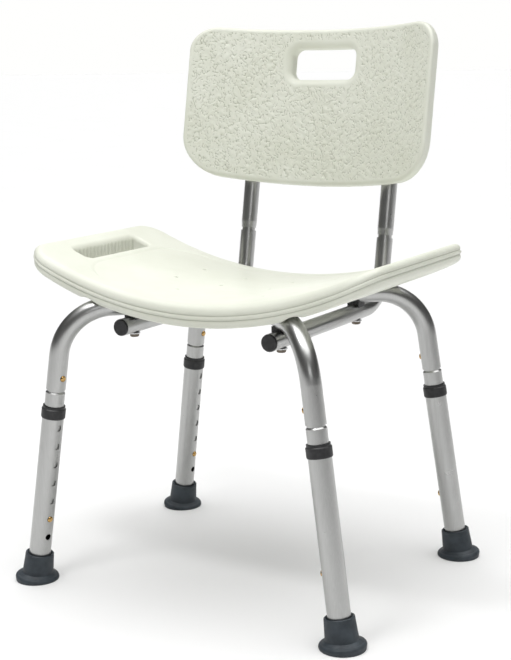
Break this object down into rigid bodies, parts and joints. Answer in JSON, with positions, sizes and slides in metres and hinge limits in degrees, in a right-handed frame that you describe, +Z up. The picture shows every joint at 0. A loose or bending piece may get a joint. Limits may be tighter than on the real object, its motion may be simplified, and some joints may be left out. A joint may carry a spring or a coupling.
{
  "type": "shower chair",
  "caption": "Free-standing shower chair: curved blow-moulded seat with end handle slots, curved backrest with a handle hole, crossed tube bows and telescopic legs on rubber feet.",
  "frame": {"origin": "on the floor, in the middle of the chair's outer box", "axes": "+Z up, -Y towards the front of the chair, +X to the right as seen from in front"},
  "size_m": [0.5192, 0.4545, 0.7265],
  "materials": {
    "seat_plastic": "blow-moulded polyethylene, ivory, satin",
    "backrest_plastic": "blow-moulded polyethylene, ivory, moulded grain on the front",
    "aluminium_tube": "satin anodised drawn tube",
    "collar_plastic": "black moulded polypropylene",
    "plug_plastic": "black moulded polyethylene",
    "saddle_plastic": "black moulded nylon",
    "washer_steel": "zinc-plated steel",
    "fastener_steel": "zinc-plated steel",
    "foot_rubber": "slate blue-grey moulded rubber",
    "button_brass": "brass-plated snap button",
    "spring_steel": "sprung steel strip",
    "insert_brass": "brass threaded insert"
  },
  "bodies": {
    "frame": {"seat": "seat_plastic", "frame_bow_lower": "aluminium_tube", "frame_bow_upper": "aluminium_tube", "crossing_rivet": "fastener_steel", "back_support_left": "aluminium_tube", "back_support_right": "aluminium_tube", "back_support_plugs": "plug_plastic", "frame_bolts": "fastener_steel", "frame_washers": "washer_steel", "seat_insert_nuts": "insert_brass", "tube_saddles": "saddle_plastic"},
    "back": {"backrest": "backrest_plastic", "back_upright_left": "aluminium_tube", "back_upright_right": "aluminium_tube", "back_upright_plugs": "plug_plastic", "backrest_screws": "fastener_steel", "backrest_insert_nuts": "insert_brass", "back_spring_left": "spring_steel", "back_spring_right": "spring_steel"},
    "back_button_body_left": {"back_button_left": "button_brass"},
    "back_button_body_right": {"back_button_right": "button_brass"},
    "leg_front_left": {"leg_inner_front_left": "aluminium_tube", "height_spring_front_left": "spring_steel", "release_spring_front_left": "spring_steel"},
    "leg_extension_front_left": {"leg_outer_front_left": "aluminium_tube", "leg_collar_front_left": "collar_plastic", "foot_front_left": "foot_rubber", "foot_washer_front_left": "washer_steel"},
    "height_snap_front_left": {"height_button_front_left": "button_brass"},
    "release_snap_front_left": {"release_button_front_left": "button_brass"},
    "leg_rear_left": {"leg_inner_rear_left": "aluminium_tube", "height_spring_rear_left": "spring_steel", "release_spring_rear_left": "spring_steel"},
    "leg_extension_rear_left": {"leg_outer_rear_left": "aluminium_tube", "leg_collar_rear_left": "collar_plastic", "foot_rear_left": "foot_rubber", "foot_washer_rear_left": "washer_steel"},
    "height_snap_rear_left": {"height_button_rear_left": "button_brass"},
    "release_snap_rear_left": {"release_button_rear_left": "button_brass"},
    "leg_front_right": {"leg_inner_front_right": "aluminium_tube", "height_spring_front_right": "spring_steel", "release_spring_front_right": "spring_steel"},
    "leg_extension_front_right": {"leg_outer_front_right": "aluminium_tube", "leg_collar_front_right": "collar_plastic", "foot_front_right": "foot_rubber", "foot_washer_front_right": "washer_steel"},
    "height_snap_front_right": {"height_button_front_right": "button_brass"},
    "release_snap_front_right": {"release_button_front_right": "button_brass"},
    "leg_rear_right": {"leg_inner_rear_right": "aluminium_tube", "height_spring_rear_right": "spring_steel", "release_spring_rear_right": "spring_steel"},
    "leg_extension_rear_right": {"leg_outer_rear_right": "aluminium_tube", "leg_collar_rear_right": "collar_plastic", "foot_rear_right": "foot_rubber", "foot_washer_rear_right": "washer_steel"},
    "height_snap_rear_right": {"height_button_rear_right": "button_brass"},
    "release_snap_rear_right": {"release_button_rear_right": "button_brass"}
  },
  "joints": [
    {"name": "backrest_lift", "type": "slide", "parent": "frame", "child": "back", "axis": [0, 0.1891, 0.982], "range_m": [0, 0.15]},
    {"name": "back_button_press_left", "type": "slide", "parent": "back", "child": "back_button_body_left", "axis": [0, -0.982, 0.1891], "range_m": [0, 0.0042], "stiffness_N_per_m": 2500, "springref_m": -0.002, "deforming": ["back_spring_left"]},
    {"name": "back_button_press_right", "type": "slide", "parent": "back", "child": "back_button_body_right", "axis": [0, -0.982, 0.1891], "range_m": [0, 0.0042], "stiffness_N_per_m": 2500, "springref_m": -0.002, "deforming": ["back_spring_right"]},
    {"name": "leg_release_front_left", "type": "slide", "parent": "frame", "child": "leg_front_left", "axis": [-0.1453, -0.0356, -0.9887], "range_m": [0, 0.15]},
    {"name": "leg_height_front_left", "type": "slide", "parent": "leg_front_left", "child": "leg_extension_front_left", "axis": [0.1453, 0.0356, 0.9887], "range_m": [-0.127, 0.0254]},
    {"name": "height_button_press_front_left", "type": "slide", "parent": "leg_front_left", "child": "height_snap_front_left", "axis": [-0.964, 0.2299, 0.1334], "range_m": [0, 0.0042], "stiffness_N_per_m": 2500, "springref_m": -0.002, "deforming": ["height_spring_front_left"]},
    {"name": "release_button_press_front_left", "type": "slide", "parent": "leg_front_left", "child": "release_snap_front_left", "axis": [-0.964, 0.2299, 0.1334], "range_m": [0, 0.0042], "stiffness_N_per_m": 2500, "springref_m": -0.002, "deforming": ["release_spring_front_left"]},
    {"name": "leg_release_rear_left", "type": "slide", "parent": "frame", "child": "leg_rear_left", "axis": [-0.1453, 0.0356, -0.9887], "range_m": [0, 0.15]},
    {"name": "leg_height_rear_left", "type": "slide", "parent": "leg_rear_left", "child": "leg_extension_rear_left", "axis": [0.1453, -0.0356, 0.9887], "range_m": [-0.127, 0.0254]},
    {"name": "height_button_press_rear_left", "type": "slide", "parent": "leg_rear_left", "child": "height_snap_rear_left", "axis": [-0.988, 0.0471, 0.1469], "range_m": [0, 0.0042], "stiffness_N_per_m": 2500, "springref_m": -0.002, "deforming": ["height_spring_rear_left"]},
    {"name": "release_button_press_rear_left", "type": "slide", "parent": "leg_rear_left", "child": "release_snap_rear_left", "axis": [-0.988, 0.0471, 0.1469], "range_m": [0, 0.0042], "stiffness_N_per_m": 2500, "springref_m": -0.002, "deforming": ["release_spring_rear_left"]},
    {"name": "leg_release_front_right", "type": "slide", "parent": "frame", "child": "leg_front_right", "axis": [0.1453, -0.0356, -0.9887], "range_m": [0, 0.15]},
    {"name": "leg_height_front_right", "type": "slide", "parent": "leg_front_right", "child": "leg_extension_front_right", "axis": [-0.1453, 0.0356, 0.9887], "range_m": [-0.127, 0.0254]},
    {"name": "height_button_press_front_right", "type": "slide", "parent": "leg_front_right", "child": "height_snap_front_right", "axis": [0.984, 0.1097, 0.1407], "range_m": [0, 0.0042], "stiffness_N_per_m": 2500, "springref_m": -0.002, "deforming": ["height_spring_front_right"]},
    {"name": "release_button_press_front_right", "type": "slide", "parent": "leg_front_right", "child": "release_snap_front_right", "axis": [0.984, 0.1097, 0.1407], "range_m": [0, 0.0042], "stiffness_N_per_m": 2500, "springref_m": -0.002, "deforming": ["release_spring_front_right"]},
    {"name": "leg_release_rear_right", "type": "slide", "parent": "frame", "child": "leg_rear_right", "axis": [0.1453, 0.0356, -0.9887], "range_m": [0, 0.15]},
    {"name": "leg_height_rear_right", "type": "slide", "parent": "leg_rear_right", "child": "leg_extension_rear_right", "axis": [-0.1453, -0.0356, 0.9887], "range_m": [-0.127, 0.0254]},
    {"name": "height_button_press_rear_right", "type": "slide", "parent": "leg_rear_right", "child": "height_snap_rear_right", "axis": [0.9798, 0.1339, 0.1488], "range_m": [0, 0.0042], "stiffness_N_per_m": 2500, "springref_m": -0.002, "deforming": ["height_spring_rear_right"]},
    {"name": "release_button_press_rear_right", "type": "slide", "parent": "leg_rear_right", "child": "release_snap_rear_right", "axis": [0.9798, 0.1339, 0.1488], "range_m": [0, 0.0042], "stiffness_N_per_m": 2500, "springref_m": -0.002, "deforming": ["release_spring_rear_right"]}
  ]
}
